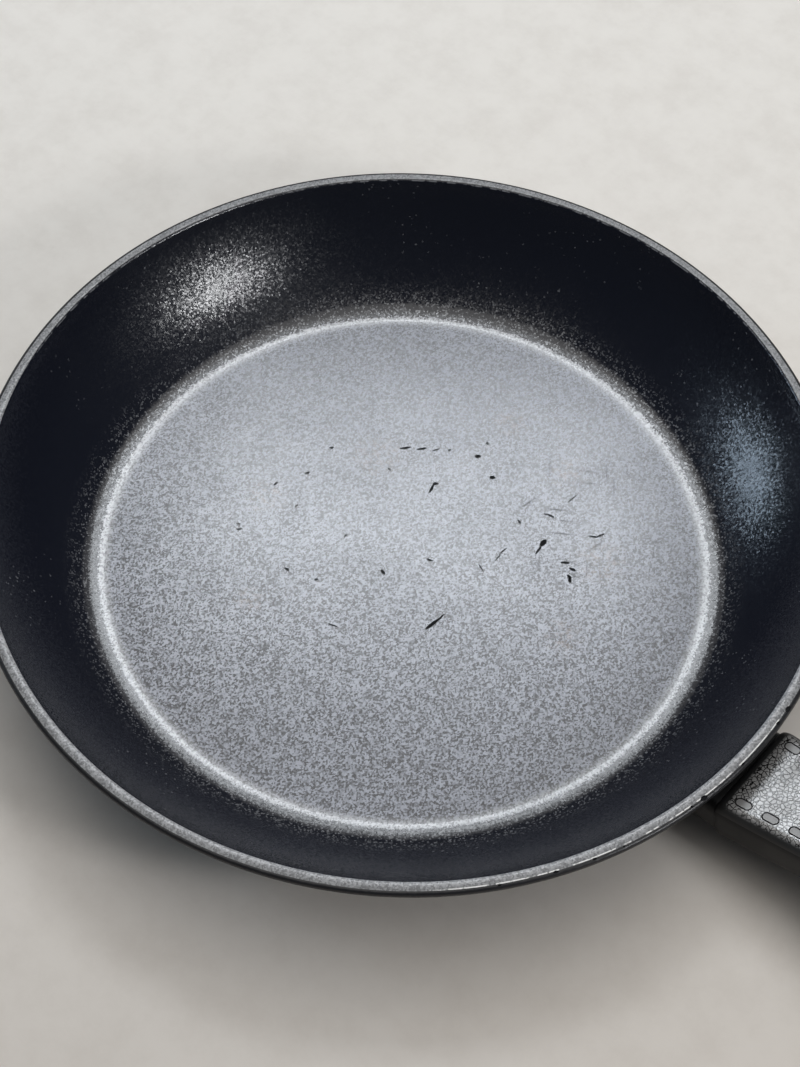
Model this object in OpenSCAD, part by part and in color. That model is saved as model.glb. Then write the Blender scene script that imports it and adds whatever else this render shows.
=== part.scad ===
// Non-stick frying pan with a moulded handle.
// Origin: centre of the flat base, on its underside. +Z is up, and the handle points along +X.
// All sizes are in millimetres.

/* [Pan body] */
// Outside diameter of the rim
pan_d = 280; // [260:5:340]
// Diameter of the flat cooking floor, out to the ridge where the wall starts
floor_d = 206; // [170:2:210]
// Depth from the cooking floor to the top of the rim
pan_depth = 35.5; // [30:0.5:50]
// Thickness of the floor
base_t = 4.5; // [3.5:0.1:6]
// Thickness of the wall
wall_t = 2.8; // [2:0.1:3.6]
// Radius between the floor and the wall
corner_r = 8; // [4:0.5:10]
// How far the wall's slope turns between the floor and the rim, in degrees
wall_bend = 22; // [10:1:28]
// Radius of the edge around the underside
base_edge_r = 6; // [2:0.5:8]

/* [Floor ridge] */
// Width of the shallow ridge that rings the floor
ridge_w = 2.6; // [1.5:0.1:4]
// Height of that ridge
ridge_h = 0.25; // [0.1:0.05:0.5]

/* [Rim] */
// Width of the flat land on top of the rim
rim_w = 4.6; // [4:0.1:6]
// How far the land falls from its inner edge to its outer edge
rim_fall = 0.3; // [0:0.1:0.6]
// Height of the upright outer face of the rim
rim_h = 3.5; // [2.5:0.1:5]
// Height over which the rim thins down to the wall
rim_taper = 2; // [1:0.1:4]
// Radius of the rim's edges
rim_edge_r = 1; // [0.4:0.1:1.2]

/* [Handle] */
// How far the front face of the handle lies inside the rim's outer edge
handle_tuck = 0.5; // [-10:0.5:3]
// Height of the middle of that face above the base
handle_z = 19.4; // [15:0.2:24]
// Rise of the handle, in degrees
handle_tilt = 10; // [4:0.5:14]
// Length of the handle, from its front face to its tip
handle_len = 184; // [150:2:220]
// Width at the front
handle_w = 37.5; // [32:0.5:42]
// Height at the front
handle_t = 17.5; // [15:0.5:21]
// How much narrower the grip is than its two ends
waist = 4; // [0:0.5:6]
// How far the middle of the grip is arched up
arch_h = 3; // [0:0.5:5]
// Radius of the two top edges
top_edge_r = 4; // [2:0.5:5]
// Radius of the two bottom edges
bottom_edge_r = 5; // [2:0.5:6]
// Length of the rounding at the front face
nose_len = 3; // [1:0.5:5]
// How far that rounding draws the front face in
nose_in = 1.4; // [0.5:0.1:2]

/* [Handle tail] */
// Length of the straight tail that holds the hanging hole
tail_len = 38; // [34:1:50]
// Width of the tail
tail_w = 34; // [30:0.5:42]
// Height of the tail
tail_t = 13; // [10:0.5:15]
// Width of the bevel around the tip
tip_bevel = 2.5; // [1:0.5:4]
// Diameter of the hanging hole
hang_d = 12; // [8:0.5:14]
// Distance from the tip to the middle of the hanging hole
hang_in = 17; // [14:0.5:24]

/* [Collar] */
// Width of the collar where it meets the pan
collar_w = 32; // [28:0.5:35]
// Height of the collar where it meets the pan
collar_t = 15; // [13:0.5:17]
// Thickness of the collar's shell
collar_shell = 2.2; // [1.5:0.1:3]
// Thickness of its web against the handle
collar_web = 3; // [2:0.5:5]
// Gap between the collar and the pan
wall_gap = 0.2; // [0.1:0.05:0.5]

/* [Bracket] */
// Width of the welded pad
pad_w = 22; // [18:0.5:24]
// Height of the welded pad
pad_h = 6.5; // [5.5:0.5:7]
// Distance from the handle's front face back to the pad
pad_back = 8; // [6:0.5:10]
// Width of the tang
tang_w = 14; // [10:0.5:16]
// Thickness of the tang
tang_t = 5; // [4:0.5:6]
// Length of the tang inside the handle
tang_len = 32; // [26:1:40]
// How far the tang lies above the middle of the handle
tang_lift = 1.5; // [0:0.1:2]
// Clearance around the tang
tang_gap = 0.15; // [0.05:0.05:0.3]

/* [Fixing screw] */
// Diameter of the screw's thread
screw_d = 5; // [4:0.5:6]
// Distance from the handle's front face to the screw
screw_in = 20; // [16:1:23]
// Diameter of the screw's head
head_d = 9; // [8:0.5:10]
// Height of the screw's head
head_h = 2.4; // [1.8:0.1:2.8]
// Length of the point that stands out of the tang
screw_end = 1.2; // [0.6:0.2:2]
// Outside diameter of the spring washer
washer_d = 8.6; // [8:0.2:10]
// Thickness of the spring washer
washer_t = 1.2; // [0.8:0.1:1.4]
// Width of the split in the spring washer
washer_split = 0.8; // [0.4:0.1:1.2]
// Thickness of the handle's floor under the washer's seat
seat_t = 2.2; // [2:0.1:2.6]
// Radial clearance of the screw in the tang's thread
thread_gap = 0.05; // [0.02:0.01:0.1]
// Radial clearance in the plain holes
hole_gap = 0.3; // [0.2:0.05:0.5]

/* [Hidden] */
$fn = 96;
turn_fn = 240;
corner_steps = 6;
wall_steps = 20;
grip_spans = 5;
slab = 0.01;
over = 1;

floor_r = floor_d / 2;
rim_r = pan_d / 2;
rim_z = base_t + pan_depth;

// A point on an arc is named by the slope of the arc there, in degrees from level.
function on_arc(centre, r, slope) = centre + r * [sin(slope), -cos(slope)];
function arc(centre, r, from, to, steps) =
    [for (i = [0:steps]) on_arc(centre, r, from + (to - from) * i / steps)];

// Inside of the wall: a small corner arc, then one long arc up to the rim.
corner_c = [floor_r, base_t + corner_r];
wall_top = [rim_r - rim_w, rim_z - rim_edge_r];
wall_slope = atan2(wall_top.y - base_t, wall_top.x - floor_r) - wall_bend / 2;
wall_foot = on_arc(corner_c, corner_r, wall_slope);
chord = wall_top - wall_foot;
chord_slope = atan2(chord.y, chord.x);
top_slope = 2 * chord_slope - wall_slope;
wall_r = norm(chord) / (2 * sin(chord_slope - wall_slope));
wall_c = wall_foot + wall_r * [-sin(wall_slope), cos(wall_slope)];

// Outside of the pan, from the flat base up to the rim's outer face, grown outwards by a gap.
function outside(gap) =
    let (
        foot = on_arc(corner_c, corner_r + wall_t + gap, wall_slope),
        base_corner = foot.x - (foot.y + gap) / tan(wall_slope),
        edge_c = [base_corner - base_edge_r * tan(wall_slope / 2), base_edge_r - gap],
        outer_r = wall_r + wall_t + gap,
        taper_z = rim_z - rim_fall - rim_h - rim_taper,
        outer_end = acos((wall_c.y - taper_z) / outer_r),
        lip_c = [rim_r + gap - rim_edge_r, rim_z - rim_fall - rim_h + rim_edge_r]
    )
    concat(
        [[0, -gap]],
        arc(edge_c, base_edge_r, 0, wall_slope, corner_steps),
        arc(wall_c, outer_r, wall_slope, outer_end, wall_steps),
        arc(lip_c, rim_edge_r, wall_slope, 90, corner_steps)
    );

// Top of the rim, from its outer face over the land to the inside of the wall.
function rim_top() =
    concat(
        arc([rim_r - rim_edge_r, rim_z - rim_fall - rim_edge_r], rim_edge_r, 90, 180, corner_steps),
        arc([rim_r - rim_w + rim_edge_r, rim_z - rim_edge_r], rim_edge_r, 180, 180 + top_slope, corner_steps)
    );

// Inside of the pan, from the rim down to the middle of the floor.
function inside() =
    let (
        ridge_r = (ridge_w * ridge_w / 4 + ridge_h * ridge_h) / (2 * ridge_h),
        ridge_half = asin(ridge_w / 2 / ridge_r),
        ridge_c = [floor_r - ridge_w / 2, base_t + ridge_h - ridge_r]
    )
    concat(
        arc(wall_c, wall_r, top_slope - 1, wall_slope, wall_steps),
        arc(corner_c, corner_r, wall_slope, 0, corner_steps),
        arc(ridge_c, ridge_r, 180 - ridge_half, 180 + ridge_half, corner_steps),
        [[0, base_t]]
    );

module pan_body() {
    color([0.09, 0.1, 0.12])
        rotate_extrude($fn = turn_fn)
            polygon(concat(outside(0), rim_top(), inside()));
}

// Everything inside the pan's outer surface, to cut what is fitted against the wall.
module pan_envelope(gap) {
    rotate_extrude($fn = turn_fn)
        polygon(concat(outside(gap), [[rim_r + gap, rim_z], [0, rim_z]]));
}

// The handle's own frame: origin in the middle of its front face, +X along it.
handle_reach = rim_r - handle_tuck;

module on_handle() {
    translate([handle_reach, 0, handle_z])
        rotate([0, -handle_tilt, 0])
            children();
}

// A thin upright slice of the handle or the collar, centred on the X axis.
module slice(x, w, t, lift = 0) {
    points = concat(
        arc([w / 2 - bottom_edge_r, bottom_edge_r - t / 2], bottom_edge_r, 0, 90, corner_steps),
        arc([w / 2 - top_edge_r, t / 2 - top_edge_r], top_edge_r, 90, 180, corner_steps),
        arc([top_edge_r - w / 2, t / 2 - top_edge_r], top_edge_r, 180, 270, corner_steps),
        arc([bottom_edge_r - w / 2, bottom_edge_r - t / 2], bottom_edge_r, 270, 360, corner_steps)
    );
    translate([x, 0, lift])
        rotate([90, 0, 90])
            linear_extrude(slab)
                polygon(points);
}

// A square-edged bar along the tang's own axis.
module bar(from, to, w, t) {
    translate([from, -w / 2, tang_lift - t / 2])
        cube([to - from, w, t]);
}

// Pad and tang that carry the handle, welded to the wall as one piece.
pad_start = -handle_reach / 4;

module handle_bracket() {
    color([0.62, 0.63, 0.65])
        difference() {
            on_handle()
                difference() {
                    union() {
                        bar(pad_start, -pad_back, pad_w, pad_h);
                        bar(pad_start, tang_len, tang_w, tang_t);
                    }
                    translate([screw_in, 0, tang_lift - tang_t])
                        cylinder(h = 2 * tang_t, d = screw_d);
                }
            pan_envelope(0);
        }
}

// Hollow collar between the pan and the handle.
module collar() {
    color([0.06, 0.06, 0.065])
        difference() {
            on_handle()
                difference() {
                    hull() {
                        slice(pad_start, collar_w, collar_t);
                        slice(-slab, handle_w - nose_in, handle_t - nose_in);
                    }
                    hull() {
                        slice(pad_start - over, collar_w - 2 * collar_shell, collar_t - 2 * collar_shell);
                        slice(-collar_web, handle_w - 3 * collar_shell, handle_t - 3 * collar_shell);
                    }
                    bar(pad_start, over, tang_w + 2 * tang_gap, tang_t + 2 * tang_gap);
                }
            pan_envelope(wall_gap);
        }
}

// The grip is a row of slices: its width, height and lift change smoothly along it.
grip_len = handle_len - tail_len;
function along(x) = (x - nose_len) / (grip_len - nose_len);
function grip_w(x) = handle_w + (tail_w - handle_w) * along(x) - waist * sin(180 * along(x));
function grip_t(x) = handle_t + (tail_t - handle_t) * along(x);
function grip_lift(x) = arch_h * (1 - cos(360 * along(x))) / 2 + (handle_t - grip_t(x)) / 2;

module grip_slice(x) {
    slice(x, grip_w(x), grip_t(x), grip_lift(x));
}

tip_r = tail_w / 2;
tail_lift = grip_lift(grip_len);
seat_z = tang_lift - tang_t / 2 - tang_gap - seat_t;
tang_top = tang_lift + tang_t / 2;
socket_len = tang_len + over;

module handle() {
    span = (grip_len - nose_len) / grip_spans;
    color([0.05, 0.05, 0.055])
        on_handle()
            difference() {
                union() {
                    hull() {
                        slice(0, handle_w - nose_in, handle_t - nose_in);
                        grip_slice(nose_len);
                    }
                    for (i = [0:grip_spans - 1])
                        hull() {
                            grip_slice(nose_len + i * span);
                            grip_slice(nose_len + (i + 1) * span);
                        }
                    hull() {
                        grip_slice(grip_len);
                        translate([handle_len - tip_r, 0, tail_lift - tail_t / 2 + tip_bevel])
                            cylinder(h = tail_t - 2 * tip_bevel, r = tip_r);
                        translate([handle_len - tip_r, 0, tail_lift - tail_t / 2])
                            cylinder(h = tail_t, r = tip_r - tip_bevel);
                    }
                }
                bar(-over, socket_len, tang_w + 2 * tang_gap, tang_t + 2 * tang_gap);
                translate([screw_in, 0, -handle_t])
                    cylinder(h = handle_t, r = screw_d / 2 + hole_gap);
                translate([screw_in, 0, -handle_t])
                    cylinder(h = handle_t + seat_z, r = head_d / 2 + hole_gap);
                translate([screw_in, 0, 0])
                    cylinder(h = tang_top + screw_end + hole_gap, r = screw_d / 2 + hole_gap);
                translate([handle_len - hang_in, 0, tail_lift - tail_t])
                    cylinder(h = 2 * tail_t, d = hang_d);
            }
}

// The washer and the screw are drawn along the screw's own axis, from the washer's seat.
module on_screw() {
    on_handle()
        translate([screw_in, 0, seat_z])
            children();
}

module spring_washer() {
    color([0.7, 0.71, 0.73])
        on_screw()
            translate([0, 0, -washer_t])
                difference() {
                    cylinder(h = washer_t, d = washer_d);
                    translate([0, 0, -over])
                        cylinder(h = washer_t + 2 * over, r = screw_d / 2 + hole_gap / 2);
                    translate([0, -washer_split / 2, -over])
                        cube([washer_d, washer_split, washer_t + 2 * over]);
                }
}

recess_len = head_d * 0.6;
recess_w = screw_d * 0.2;
recess_depth = head_h * 0.6;

module fixing_screw() {
    shank_len = washer_t - seat_z + tang_top + screw_end;
    color([0.75, 0.76, 0.78])
        on_screw()
            translate([0, 0, -washer_t])
                difference() {
                    union() {
                        cylinder(h = shank_len, r = screw_d / 2 - thread_gap);
                        translate([0, 0, -head_h])
                            cylinder(h = head_h, d = head_d);
                    }
                    for (turn = [0, 90])
                        rotate([0, 0, turn])
                            translate([-recess_len / 2, -recess_w / 2, -head_h - over])
                                cube([recess_len, recess_w, recess_depth + over]);
                }
}

pan_body();
handle_bracket();
collar();
handle();
spring_washer();
fixing_screw();
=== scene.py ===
import math

import bmesh
import bpy
from mathutils import Matrix, Vector


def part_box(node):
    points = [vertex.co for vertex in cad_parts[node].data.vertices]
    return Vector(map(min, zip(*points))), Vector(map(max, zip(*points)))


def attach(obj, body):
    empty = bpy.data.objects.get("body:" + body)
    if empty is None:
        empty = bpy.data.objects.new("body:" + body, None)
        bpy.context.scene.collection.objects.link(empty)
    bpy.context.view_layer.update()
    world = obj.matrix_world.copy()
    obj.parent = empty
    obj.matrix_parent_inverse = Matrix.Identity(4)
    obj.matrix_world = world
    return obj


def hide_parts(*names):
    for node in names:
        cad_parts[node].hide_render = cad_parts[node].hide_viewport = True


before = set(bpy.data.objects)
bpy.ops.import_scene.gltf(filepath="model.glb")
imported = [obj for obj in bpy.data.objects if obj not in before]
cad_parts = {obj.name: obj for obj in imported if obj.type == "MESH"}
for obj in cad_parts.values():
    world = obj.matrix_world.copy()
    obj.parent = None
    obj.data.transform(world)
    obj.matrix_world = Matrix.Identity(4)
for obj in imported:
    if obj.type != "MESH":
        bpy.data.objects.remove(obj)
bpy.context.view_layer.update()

mm = 0.001


def dropSelection():
    if bpy.context.object and bpy.context.object.mode != "OBJECT":
        bpy.ops.object.mode_set(mode="OBJECT")
    bpy.ops.object.select_all(action="DESELECT")


def pick(obj):
    dropSelection()
    obj.select_set(True)
    bpy.context.view_layer.objects.active = obj


def editMode(obj, selectType="FACE"):
    pick(obj)
    bpy.ops.object.mode_set(mode="EDIT")
    bpy.ops.mesh.select_mode(type=selectType)


def selectWhere(obj, part, test):
    # part is "verts", "edges" or "faces"; test gets one of them
    bpy.ops.mesh.select_all(action="DESELECT")
    mesh = bmesh.from_edit_mesh(obj.data)
    for item in getattr(mesh, part):
        if test(item):
            item.select_set(True)
    mesh.select_flush_mode()
    bmesh.update_edit_mesh(obj.data)


def placeInMesh(obj):
    pick(obj)
    bpy.ops.object.transform_apply(location=True, rotation=True, scale=True)


def joinAll(objects, name):
    dropSelection()
    for obj in objects:
        obj.select_set(True)
    bpy.context.view_layer.objects.active = objects[0]
    bpy.ops.object.join()
    objects[0].name = name
    return objects[0]


def cutAway(obj, tool, slotNumber=0):
    # the faces that the tool cuts get the material of this slot
    for face in tool.data.polygons:
        face.material_index = slotNumber
    pick(obj)
    cut = obj.modifiers.new("cut", "BOOLEAN")
    cut.operation = "DIFFERENCE"
    cut.solver = "MANIFOLD"
    cut.material_mode = "INDEX"
    cut.object = tool
    bpy.ops.object.modifier_apply(modifier=cut.name)
    bpy.data.objects.remove(tool)


def closeUp(obj, smoothAngle=32):
    editMode(obj)
    bpy.ops.mesh.select_all(action="SELECT")
    bpy.ops.mesh.remove_doubles(threshold=0.002 * mm)
    bpy.ops.mesh.normals_make_consistent(inside=False)
    if bmesh.from_edit_mesh(obj.data).calc_volume(signed=True) < 0:
        bpy.ops.mesh.flip_normals()
    bpy.ops.object.mode_set(mode="OBJECT")
    bpy.ops.object.shade_smooth_by_angle(angle=math.radians(smoothAngle))


def turnProfile(name, points, turns):
    # a closed turned solid: a disc, then its edge extruded and scaled from point to point
    firstR, firstZ = points[0]
    bpy.ops.mesh.primitive_circle_add(vertices=turns, radius=firstR, fill_type="TRIFAN",
                                      location=(0, 0, firstZ))
    obj = bpy.context.object
    obj.name = name
    placeInMesh(obj)
    editMode(obj, "EDGE")
    bpy.ops.mesh.select_all(action="SELECT")
    bpy.ops.mesh.region_to_loop()
    for (r0, z0), (r1, z1) in zip(points, points[1:]):
        bpy.ops.mesh.extrude_region_move(TRANSFORM_OT_translate={"value": (0, 0, z1 - z0)})
        bpy.ops.transform.resize(value=(r1 / r0, r1 / r0, 1), center_override=(0, 0, 0))
    bpy.ops.mesh.edge_face_add()
    bpy.ops.mesh.poke()
    bpy.ops.object.mode_set(mode="OBJECT")
    return obj


def setMaterials(obj, *materials):
    # done before any cut, so that the cuts keep their material numbers
    for material in materials:
        obj.data.materials.append(material)


def finishPiece(obj, name, replaced):
    obj.name = name
    obj.data.name = name
    while obj.data.materials[-1] is None:
        obj.data.materials.pop()
    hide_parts(replaced)
    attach(obj, "root")


# camera, lights and floor
view = {
    "turn": 39.2,           # degrees from -Y to the camera's side, round +Z
    "back": 398.3,          # mm from the pan's axis
    "up": 610.3,            # mm above the base
    "yaw": -0.26,           # where it looks, in degrees off the pan's axis
    "pitch": 56.16,         # and down from level
    "roll": 2.02,
    "lens": 73.05,
}

lights = {
    # name: (turn from the far side, height angle, metres away, width, height, watts, colour)
    "sheenWindow": (0, 55.0, 1.35, 0.50, 0.23, 3.6, (0.90, 0.95, 1.0)),
    "windowWide": (0, 50, 1.5, 2.2, 1.3, 5.0, (1.0, 0.99, 0.97)),
    "topFill": (0, 88, 1.6, 1.6, 1.6, 10.0, (1.0, 0.98, 0.95)),
    "rightLamp": (-123, 33, 1.1, 0.18, 0.18, 3.3, (0.97, 0.98, 1.0)),
    "leftWindow": (69, 18, 1.2, 0.27, 0.27, 2.0, (0.66, 0.82, 1.0)),
}

world = {
    "fill": (0.8, 0.88, 1.0),
    "fillStrength": 0.06,
    "seen": (0.80, 0.79, 0.77),
}

floorLook = {
    # far and near: painted light and shade, the floor paler on the far side towards the lamps and darker on
    # the camera's side, where it lies in shade
    "far": (0.93, 0.895, 0.84),
    "near": (0.68, 0.625, 0.565),
    "mottle": (0.42, 0.36, 0.30),
    "reach": 0.35,          # metres either side of the pan over which one turns into the other
    "glowFrom": 0.6, "glowTo": 1.6,     # metres from the pan; further out the floor glows like the backdrop
    "roughness": 0.6,
}


def farAngle(turnDegrees):
    return math.radians(90 + view["turn"] + turnDegrees)


def farSide(turnDegrees):
    # level direction from the pan away from the camera, turned round +Z
    angle = farAngle(turnDegrees)
    return Vector((math.cos(angle), math.sin(angle), 0))


def addCamera():
    yaw = math.radians(view["yaw"])
    pitch = math.radians(view["pitch"])
    ahead = farSide(0) * math.cos(yaw) + farSide(-90) * math.sin(yaw)
    look = ahead * math.cos(pitch) - Vector((0, 0, math.sin(pitch)))
    place = -farSide(0) * view["back"] * mm + Vector((0, 0, view["up"] * mm))
    data = bpy.data.cameras.new("mainView")
    data.lens = view["lens"]
    data.sensor_width = 36
    data.clip_start = 0.01
    camera = bpy.data.objects.new("mainView", data)
    bpy.context.scene.collection.objects.link(camera)
    level = look.to_track_quat("-Z", "Y").to_matrix().to_4x4()
    roll = Matrix.Rotation(math.radians(view["roll"]), 4, "Z")
    camera.matrix_world = Matrix.Translation(place) @ level @ roll
    bpy.context.scene.camera = camera


def addLights():
    for name, (turn, height, away, width, depth, watts, colour) in lights.items():
        data = bpy.data.lights.new(name, "AREA")
        data.shape = "RECTANGLE"
        data.size = width
        data.size_y = depth
        data.energy = watts
        data.color = colour
        lamp = bpy.data.objects.new(name, data)
        bpy.context.scene.collection.objects.link(lamp)
        height = math.radians(height)
        toLamp = farSide(turn) * math.cos(height) + Vector((0, 0, math.sin(height)))
        facing = toLamp.to_track_quat("Z", "Y").to_matrix().to_4x4()
        lamp.matrix_world = Matrix.Translation(toLamp * away) @ facing


def addWorld():
    studio = bpy.data.worlds.new("studio")
    bpy.context.scene.world = studio
    studio.use_nodes = True
    tree = studio.node_tree
    tree.nodes.clear()
    output = tree.nodes.new("ShaderNodeOutputWorld")
    mix = tree.nodes.new("ShaderNodeMixShader")
    path = tree.nodes.new("ShaderNodeLightPath")
    dim = tree.nodes.new("ShaderNodeBackground")
    pale = tree.nodes.new("ShaderNodeBackground")
    dim.inputs["Color"].default_value = (*world["fill"], 1)
    dim.inputs["Strength"].default_value = world["fillStrength"]
    pale.inputs["Color"].default_value = (*world["seen"], 1)
    tree.links.new(path.outputs["Is Camera Ray"], mix.inputs[0])
    tree.links.new(dim.outputs[0], mix.inputs[1])
    tree.links.new(pale.outputs[0], mix.inputs[2])
    tree.links.new(mix.outputs[0], output.inputs["Surface"])


def addFloor():
    bpy.ops.mesh.primitive_plane_add(size=12, location=(0, 0, 0))
    floor = bpy.context.object
    floor.name = "studioFloor"
    material, tree, shader = newMaterial("paleFloor")
    place = objectPlace(tree)
    # painted light and shade: paler towards the far side, darker towards the camera
    away = towards(tree, place, farAngle(0))
    far = ramp(tree, away, -floorLook["reach"], floorLook["reach"])
    colour = blendColour(tree, far, floorLook["near"], floorLook["far"])
    mottle = ramp(tree, noise(tree, place, 55, 8.0, 0.7), 0.35, 0.75, 0.0, 0.16)
    paint(tree, shader, mottle, colour, floorLook["mottle"])
    shader.inputs["Roughness"].default_value = floorLook["roughness"]
    radius, _ = fromAxis(tree, place)
    glow = ramp(tree, radius, floorLook["glowFrom"], floorLook["glowTo"])
    feed(tree, shader.inputs["Emission Color"], blendColour(tree, glow, (0.0, 0.0, 0.0), world["seen"]))
    shader.inputs["Emission Strength"].default_value = 1.0
    floor.data.materials.append(material)


def newMaterial(name):
    material = bpy.data.materials.new(name)
    material.use_nodes = True
    return material, material.node_tree, material.node_tree.nodes["Principled BSDF"]


def feed(tree, socket, value):
    if isinstance(value, bpy.types.NodeSocket):
        tree.links.new(value, socket)
    else:
        socket.default_value = value


def calc(tree, operation, first, second=None, third=None, clamp=False):
    node = tree.nodes.new("ShaderNodeMath")
    node.operation = operation
    node.use_clamp = clamp
    for socket, value in zip(node.inputs, (first, second, third)):
        if value is not None:
            feed(tree, socket, value)
    return node.outputs[0]


def times(tree, first, second):
    return calc(tree, "MULTIPLY", first, second)


def ramp(tree, value, low, high, outLow=0.0, outHigh=1.0):
    node = tree.nodes.new("ShaderNodeMapRange")
    node.interpolation_type = "SMOOTHSTEP"
    names = ("Value", "From Min", "From Max", "To Min", "To Max")
    for name, item in zip(names, (value, low, high, outLow, outHigh)):
        feed(tree, node.inputs[name], item)
    return node.outputs["Result"]


def blendColour(tree, amount, first, second):
    node = tree.nodes.new("ShaderNodeMix")
    node.data_type = "RGBA"
    feed(tree, node.inputs[0], amount)
    for socket, value in ((node.inputs[6], first), (node.inputs[7], second)):
        feed(tree, socket, (*value, 1) if isinstance(value, tuple) else value)
    return node.outputs[2]


def paint(tree, shader, amount, first, second):
    feed(tree, shader.inputs["Base Color"], blendColour(tree, amount, first, second))


def noise(tree, where, scale, detail=2.0, rough=0.5):
    node = tree.nodes.new("ShaderNodeTexNoise")
    feed(tree, node.inputs["Vector"], where)
    feed(tree, node.inputs["Scale"], scale)
    node.inputs["Detail"].default_value = detail
    node.inputs["Roughness"].default_value = rough
    return node.outputs["Fac"]


def objectPlace(tree):
    return tree.nodes.new("ShaderNodeTexCoord").outputs["Object"]


def splitXyz(tree, vector):
    node = tree.nodes.new("ShaderNodeSeparateXYZ")
    feed(tree, node.inputs[0], vector)
    return node.outputs


def fromAxis(tree, place):
    # distance from the pan's axis, and height
    x, y, z = splitXyz(tree, place)
    square = calc(tree, "MULTIPLY_ADD", x, x, times(tree, y, y))
    return calc(tree, "SQRT", square), z


def towards(tree, place, angle):
    # distance from the axis, measured only along this level direction
    x, y, _ = splitXyz(tree, place)
    return calc(tree, "MULTIPLY_ADD", x, math.cos(angle), times(tree, y, math.sin(angle)))


def bump(tree, height, strength, distance, under=None):
    node = tree.nodes.new("ShaderNodeBump")
    feed(tree, node.inputs["Height"], height)
    node.inputs["Strength"].default_value = strength
    node.inputs["Distance"].default_value = distance
    if under is not None:
        tree.links.new(under, node.inputs["Normal"])
    return node.outputs["Normal"]


def newGroup(name, inputs, outputs):
    # inputs and outputs are {name: socket type}; returns the group with its two end nodes
    group = bpy.data.node_groups.new(name, "ShaderNodeTree")
    for label, kind in inputs.items():
        group.interface.new_socket(label, in_out="INPUT", socket_type=kind)
    for label, kind in outputs.items():
        group.interface.new_socket(label, in_out="OUTPUT", socket_type=kind)
    return group, group.nodes.new("NodeGroupInput"), group.nodes.new("NodeGroupOutput")


def useGroup(tree, group, **values):
    node = tree.nodes.new("ShaderNodeGroup")
    node.node_tree = group
    for label, value in values.items():
        feed(tree, node.inputs[label], value)
    return node.outputs


def makeGrainGroup():
    # the sandy skin of the coatings: each grain has its own shade and leans its own way
    group, start, end = newGroup(
        "sandyGrain",
        {"Place": "NodeSocketVector", "Scale": "NodeSocketFloat", "Lean": "NodeSocketFloat"},
        {"Shade": "NodeSocketFloat", "Height": "NodeSocketFloat", "Normal": "NodeSocketVector"})
    place, scale = start.outputs["Place"], start.outputs["Scale"]
    speck = group.nodes.new("ShaderNodeTexVoronoi")
    feed(group, speck.inputs["Vector"], place)
    feed(group, speck.inputs["Scale"], scale)
    lean = group.nodes.new("ShaderNodeVectorMath")
    lean.operation = "SUBTRACT"
    feed(group, lean.inputs[0], speck.outputs["Color"])
    lean.inputs[1].default_value = (0.5, 0.5, 0.5)
    tilt = group.nodes.new("ShaderNodeVectorMath")
    tilt.operation = "SCALE"
    feed(group, tilt.inputs[0], lean.outputs[0])
    feed(group, tilt.inputs["Scale"], start.outputs["Lean"])
    turned = group.nodes.new("ShaderNodeVectorMath")
    turned.operation = "ADD"
    feed(group, turned.inputs[0], tilt.outputs[0])
    feed(group, turned.inputs[1], group.nodes.new("ShaderNodeNewGeometry").outputs["Normal"])
    level = group.nodes.new("ShaderNodeVectorMath")
    level.operation = "NORMALIZE"
    feed(group, level.inputs[0], turned.outputs[0])
    group.links.new(splitXyz(group, speck.outputs["Color"])[1], end.inputs["Shade"])
    group.links.new(noise(group, place, scale, 2.0, 0.6), end.inputs["Height"])
    group.links.new(level.outputs[0], end.inputs["Normal"])
    return group


def makeHairGroup():
    # fine knife hairlines, all lying one way: 1 on a line, 0 off it
    group, start, end = newGroup(
        "hairLines",
        {"Place": "NodeSocketVector", "Turn": "NodeSocketVector", "Size": "NodeSocketVector",
         "Thick": "NodeSocketFloat", "Share": "NodeSocketFloat"},
        {"Mask": "NodeSocketFloat"})
    mapping = group.nodes.new("ShaderNodeMapping")
    mapping.vector_type = "TEXTURE"
    for label, source in (("Vector", "Place"), ("Rotation", "Turn"), ("Scale", "Size")):
        group.links.new(start.outputs[source], mapping.inputs[label])
    line = group.nodes.new("ShaderNodeTexVoronoi")
    line.voronoi_dimensions = "2D"
    feed(group, line.inputs["Vector"], mapping.outputs[0])
    line.inputs["Scale"].default_value = 1.0
    chosen = calc(group, "LESS_THAN", splitXyz(group, line.outputs["Color"])[0], start.outputs["Share"])
    near = ramp(group, line.outputs["Distance"], start.outputs["Thick"], 0.0)
    group.links.new(times(group, near, chosen), end.inputs["Mask"])
    return group


def makeTurnedGroup():
    # lathe rings round the pan's axis
    group, start, end = newGroup(
        "turnedRings",
        {"Place": "NodeSocketVector", "Pitch": "NodeSocketFloat"},
        {"Height": "NodeSocketFloat"})
    radius, _ = fromAxis(group, start.outputs["Place"])
    turns = calc(group, "DIVIDE", radius, start.outputs["Pitch"])
    group.links.new(calc(group, "PINGPONG", turns, 0.5), end.inputs["Height"])
    return group


# the pan: its shape, then its finish
_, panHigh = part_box("pan_body")
pan = {
    "rimR": panHigh.x - 0.01 * mm,
    "rimZ": panHigh.z,
    "floorZ": 4.5 * mm,
    "floorR": 103 * mm,
    "wallThick": 2.8 * mm,
    "cornerR": 8 * mm,
    "wallBend": math.radians(22),
    "baseEdgeR": 6 * mm,
    "rimWidth": 4.6 * mm,
    "rimFall": 0.3 * mm,
    "rimHeight": 2.2 * mm,
    "rimTaper": 2 * mm,
    "innerRound": 1.5 * mm,
    "outerRound": 1.3 * mm,
    "lipRound": 0.8 * mm,
    "turns": 512,
    "gougeLonger": 0.2,         # how much larger a cutter is than its gouge, in mm
    "gougeWiden": 1.3,          # as a factor
    "gougeWider": 0.15,
    "gougeDepth": 0.2 * mm,
    "chipDepth": 0.4 * mm,
    "chipInset": 0.8,           # share of the outer rounding, in from the edge
    "raggedCut": 0.09 * mm,
}
pan["rimInner"] = pan["rimR"] - pan["rimWidth"]

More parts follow.
